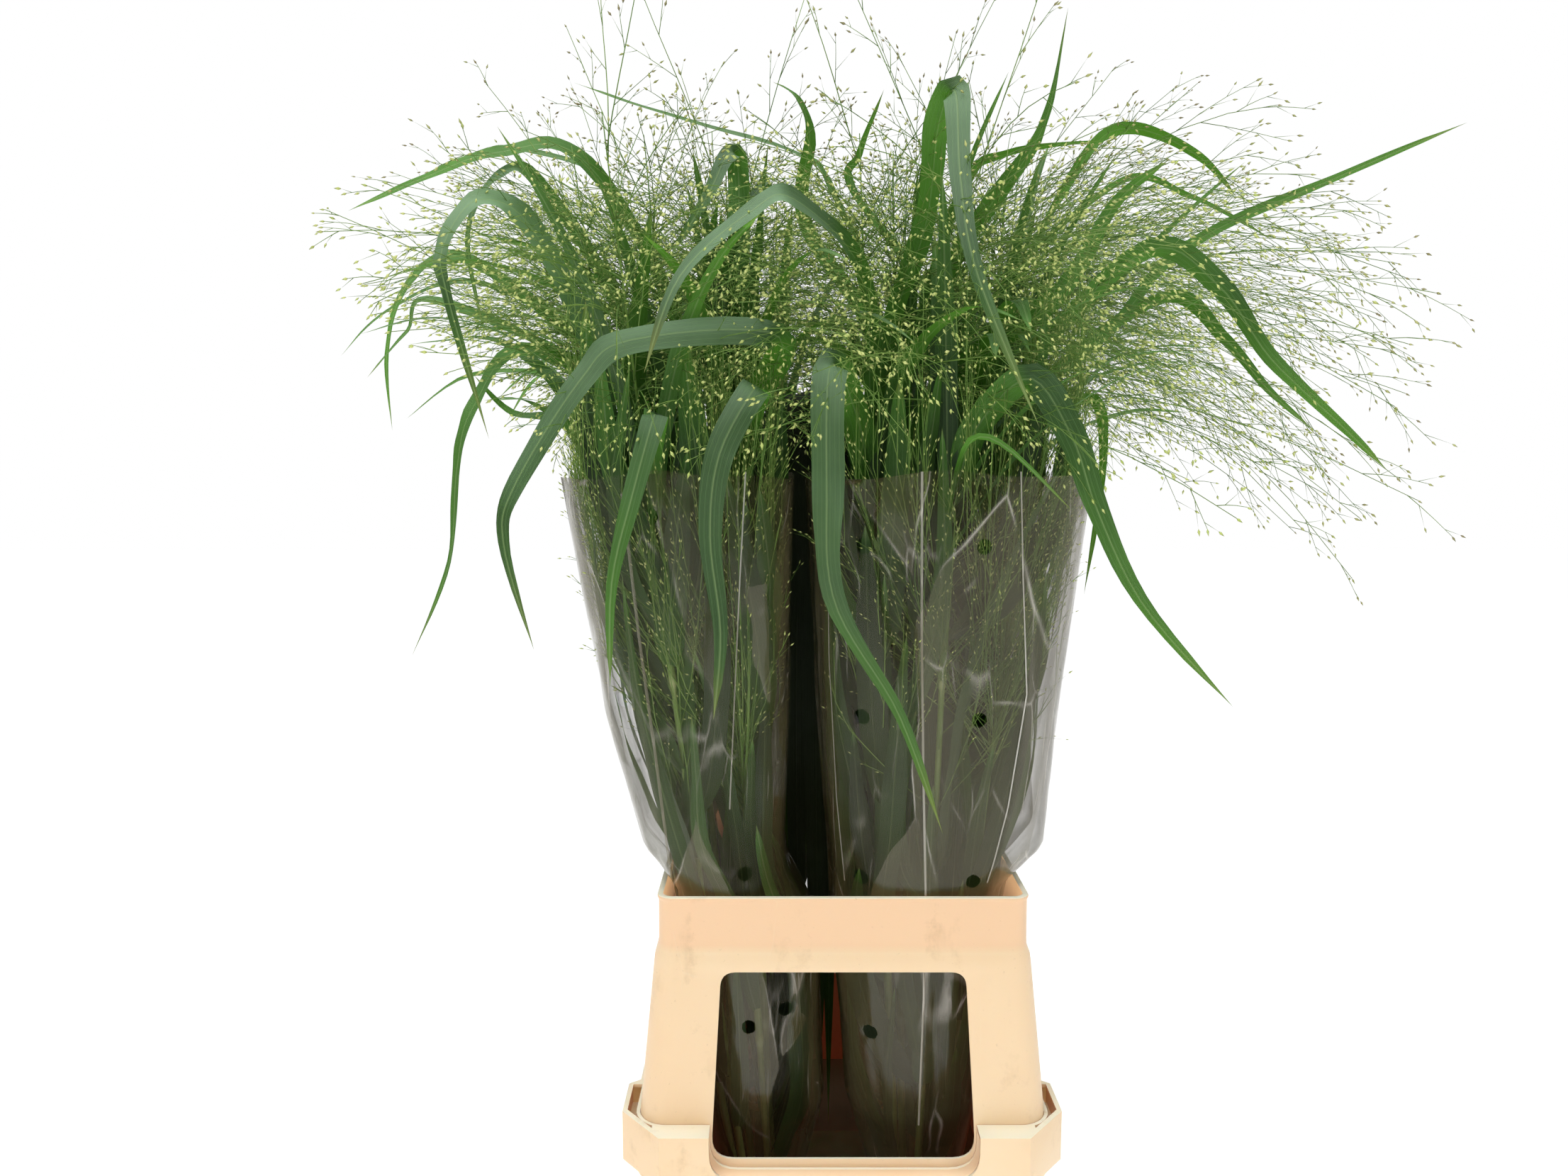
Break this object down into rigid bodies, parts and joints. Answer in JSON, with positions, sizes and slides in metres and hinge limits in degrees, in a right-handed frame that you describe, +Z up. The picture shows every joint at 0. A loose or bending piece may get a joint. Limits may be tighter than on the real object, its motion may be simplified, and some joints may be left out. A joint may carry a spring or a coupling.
{
  "type": "potted switchgrass",
  "caption": "Cut switchgrass bunches with arching leaves and open panicles, in clear film sleeves, standing in a rectangular two-piece plastic trade bucket of water.",
  "frame": {"origin": "middle of the bucket's flat underside, on the surface that it stands on", "axes": "+Z up along the stems; -Y is the front, a short side of the bucket with a window; X runs across the front"},
  "size_m": [0.8957, 0.6668, 1.0087],
  "materials": {
    "bucket_plastic": "moulded cream polypropylene, satin, lightly scuffed",
    "collar_plastic": "moulded cream-peach polypropylene, satin, with light stains and scratches",
    "water": "clear still water, slightly green",
    "film": "thin clear film, glossy, crinkled, with a faint grey-mauve tint",
    "band": "plain rubber band",
    "leaf": "finely ribbed green grass blades and smooth green stems",
    "panicle": "hair-fine green branches with pale yellow-green spikelets"
  },
  "bodies": {
    "root": {"bucket": "bucket_plastic", "collar": "collar_plastic", "water": "water", "sleeve_front_left": "film", "band_front_left": "band", "sleeve_front_right": "film", "band_front_right": "band", "sleeve_back_left": "film", "band_back_left": "band", "sleeve_back_right": "film", "band_back_right": "band", "stem_front_left_1": "leaf", "panicle_front_left_1": "panicle", "stem_front_left_2": "leaf", "panicle_front_left_2": "panicle", "stem_front_left_3": "leaf", "panicle_front_left_3": "panicle", "stem_front_left_4": "leaf", "panicle_front_left_4": "panicle", "stem_front_left_5": "leaf", "panicle_front_left_5": "panicle", "stem_front_right_1": "leaf", "panicle_front_right_1": "panicle", "stem_front_right_2": "leaf", "panicle_front_right_2": "panicle", "stem_front_right_3": "leaf", "panicle_front_right_3": "panicle", "stem_front_right_4": "leaf", "panicle_front_right_4": "panicle", "stem_front_right_5": "leaf", "panicle_front_right_5": "panicle", "stem_back_left_1": "leaf", "panicle_back_left_1": "panicle", "stem_back_left_2": "leaf", "panicle_back_left_2": "panicle", "stem_back_left_3": "leaf", "panicle_back_left_3": "panicle", "stem_back_left_4": "leaf", "panicle_back_left_4": "panicle", "stem_back_right_1": "leaf", "panicle_back_right_1": "panicle", "stem_back_right_2": "leaf", "panicle_back_right_2": "panicle", "stem_back_right_3": "leaf", "panicle_back_right_3": "panicle", "stem_back_right_4": "leaf", "panicle_back_right_4": "panicle"}
  },
  "joints": []
}
